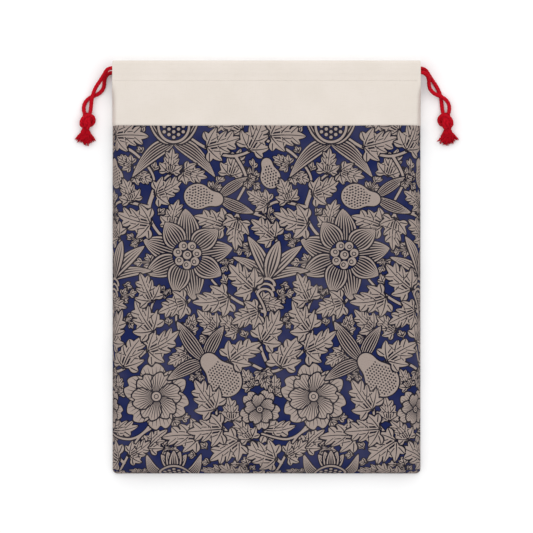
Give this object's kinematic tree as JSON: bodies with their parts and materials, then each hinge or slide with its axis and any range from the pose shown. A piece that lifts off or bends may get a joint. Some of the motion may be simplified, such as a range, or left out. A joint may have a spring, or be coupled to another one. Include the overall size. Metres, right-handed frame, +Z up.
{
  "type": "drawstring gift pouch",
  "caption": "Flat cotton pouch with a botanical block print, a plain cream mouth band folded into casings, and knotted red drawcords that pull out at opposite sides.",
  "frame": {"origin": "centre of the pouch's footprint without its free cords, on the surface it lies on", "axes": "+Y towards the mouth, +X to the right seen from above, +Z up through the flat pouch"},
  "size_m": [0.2844, 0.307, 0.0148],
  "materials": {
    "print_cloth": "matte",
    "cream_cotton": "matte",
    "red_cord": "matte",
    "thread": "matte"
  },
  "bodies": {
    "pouch": {"front_print_panel": "print_cloth", "back_print_panel": "print_cloth", "front_band": "cream_cotton", "back_band": "cream_cotton", "back_casing_facing": "cream_cotton", "front_casing_facing": "cream_cotton", "left_side_seam": "thread", "right_side_seam": "thread", "bottom_seam": "thread", "front_band_seam": "cream_cotton", "back_band_seam": "cream_cotton", "front_casing_stitching": "thread", "back_casing_stitching": "thread", "left_cord_bight": "red_cord", "right_cord_bight": "red_cord"},
    "left_cord": {"left_cord_front_run": "red_cord", "left_cord_back_run": "red_cord", "left_cord_front_tail": "red_cord", "left_cord_back_tail": "red_cord", "left_cord_knot": "red_cord", "left_cord_frayed_end_outer": "red_cord", "left_cord_frayed_end_inner": "red_cord"},
    "right_cord": {"right_cord_front_run": "red_cord", "right_cord_back_run": "red_cord", "right_cord_front_tail": "red_cord", "right_cord_back_tail": "red_cord", "right_cord_knot": "red_cord", "right_cord_frayed_end_outer": "red_cord", "right_cord_frayed_end_inner": "red_cord"}
  },
  "joints": [
    {"name": "left_cord_slide", "type": "slide", "parent": "pouch", "child": "left_cord", "axis": [-1, 0, 0], "range_m": [0, 0.19]},
    {"name": "right_cord_slide", "type": "slide", "parent": "pouch", "child": "right_cord", "axis": [1, 0, 0], "range_m": [0, 0.19]}
  ]
}
